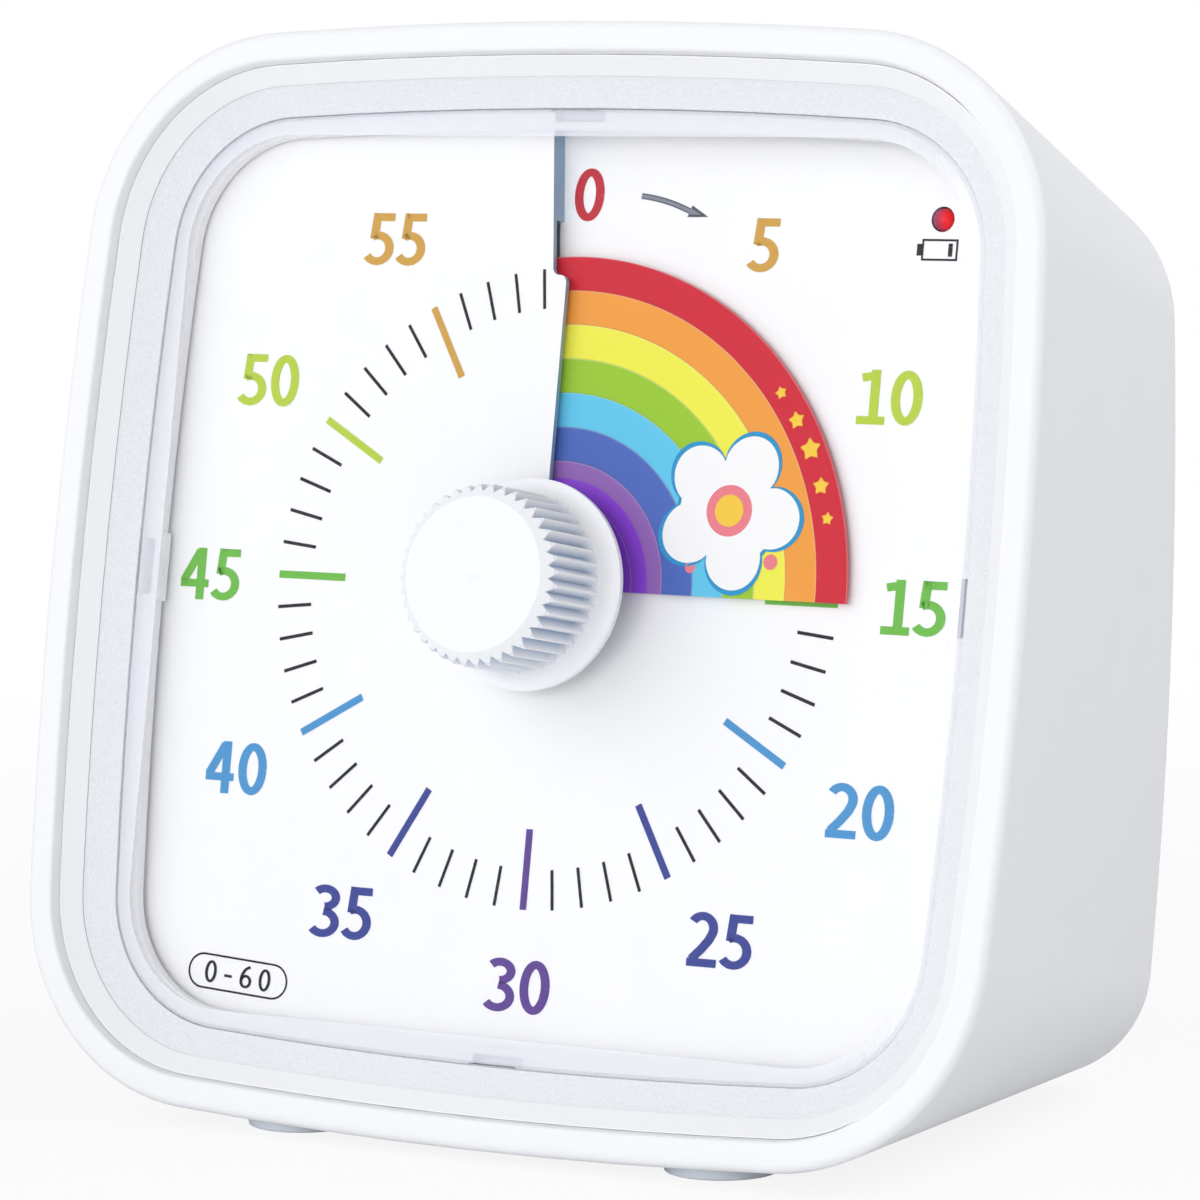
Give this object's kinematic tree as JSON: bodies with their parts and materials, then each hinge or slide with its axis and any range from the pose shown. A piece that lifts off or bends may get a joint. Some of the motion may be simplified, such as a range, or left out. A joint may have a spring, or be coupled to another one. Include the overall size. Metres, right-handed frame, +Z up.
{
  "type": "visual countdown timer",
  "caption": "Square desk timer whose coloured disc spirals out through a slit in the dial to show the minutes left, set by a ribbed centre knob.",
  "frame": {"origin": "bottom centre of the whole timer's bounding box, on the surface it stands on", "axes": "+X to the right of someone facing the dial, +Y from the dial towards the back, +Z up"},
  "size_m": [0.0878, 0.0548, 0.0871],
  "materials": {
    "white_shell": "fine satin moulding",
    "bezel_plastic": "satin moulding with a fine texture",
    "clear_lens": "clear polished plastic",
    "dial_print": "matt printed sheet",
    "inner_plastic": "plain moulding",
    "rainbow_film": "printed translucent film in coloured rings",
    "knob_plastic": "smooth satin moulding",
    "gear_plastic": "plain moulding",
    "movement_black": "plain moulding",
    "steel": "plain",
    "brass_plate": "plain",
    "board_green": "solder mask",
    "chip_black": "moulded epoxy",
    "led_red": "diffused epoxy",
    "copper_wire": "enamelled wire",
    "cell_wrap": "plain printed sleeve",
    "foot_rubber": "matt",
    "wire_red": "insulation"
  },
  "bodies": {
    "base": {"housing": "white_shell", "bezel_ring": "bezel_plastic", "lens": "clear_lens", "dial_plate": "dial_print", "dial_carrier": "inner_plastic", "carrier_screws": "steel", "status_led": "led_red", "led_board": "board_green", "movement_case_front": "movement_black", "movement_case_rear": "movement_black", "movement_screws": "steel", "stator": "steel", "coil_core": "steel", "coil_bobbin": "gear_plastic", "coil_winding": "copper_wire", "movement_board": "board_green", "movement_chip": "chip_black", "crystal": "steel", "aa_cell": "cell_wrap", "contact_plate": "steel", "contact_spring": "steel", "main_board": "board_green", "board_screws": "steel", "control_chip": "chip_black", "switch_body": "chip_black", "buzzer": "chip_black", "rubber_feet": "foot_rubber", "wiring": "wire_red"},
    "knob_shaft": {"knob": "knob_plastic", "arbor": "brass_plate", "disc_hub": "inner_plastic", "centre_wheel": "gear_plastic"},
    "disc": {"rainbow_disc": "rainbow_film"},
    "third": {"third_wheel": "gear_plastic"},
    "fourth": {"fourth_wheel": "gear_plastic"},
    "fifth": {"fifth_wheel": "gear_plastic"},
    "rotor_body": {"rotor": "gear_plastic"},
    "door": {"battery_door": "white_shell"},
    "slider": {"switch_slider": "chip_black"}
  },
  "joints": [
    {"name": "knob_turn", "type": "hinge", "parent": "base", "child": "knob_shaft", "pos_m": [0, -0.01357, 0.04296], "axis": [0, 0.9848, -0.1736], "range_deg": [-90, 270]},
    {"name": "disc_climb", "type": "slide", "parent": "knob_shaft", "child": "disc", "axis": [0, -0.9848, 0.1736], "range_m": [-0.00043, 0.00128]},
    {"name": "third_turn", "type": "hinge", "parent": "base", "child": "third", "pos_m": [-0.01015, -0.01293, 0.0466], "axis": [0, 0.9848, -0.1736], "range_deg": [-2160, 720]},
    {"name": "fourth_turn", "type": "hinge", "parent": "base", "child": "fourth", "pos_m": [-0.00853, -0.01133, 0.05567], "axis": [0, 0.9848, -0.1736], "range_deg": [-5400, 16200]},
    {"name": "fifth_turn", "type": "hinge", "parent": "base", "child": "fifth", "pos_m": [-0.00155, -0.01144, 0.05507], "axis": [0, 0.9848, -0.1736], "range_deg": [-97200, 32400]},
    {"name": "rotor_turn", "type": "hinge", "parent": "base", "child": "rotor_body", "pos_m": [0.00436, -0.01126, 0.05609], "axis": [0, 0.9848, -0.1736], "range_deg": [-162000, 486000]},
    {"name": "door_hinge", "type": "hinge", "parent": "base", "child": "door", "pos_m": [0, 0.0262, 0.0135], "axis": [-1, 0, 0], "range_deg": [0, 90]},
    {"name": "switch_slide", "type": "slide", "parent": "base", "child": "slider", "axis": [1, 0, 0], "range_m": [-0.002, 0.002]}
  ],
  "couplings": [
    {"joint": "disc_climb", "follows": "knob_turn", "m_per_rad": 0.00027056},
    {"joint": "third_turn", "follows": "knob_turn", "ratio": -8},
    {"joint": "fourth_turn", "follows": "knob_turn", "ratio": 60},
    {"joint": "fifth_turn", "follows": "knob_turn", "ratio": -360},
    {"joint": "rotor_turn", "follows": "knob_turn", "ratio": 1800}
  ]
}
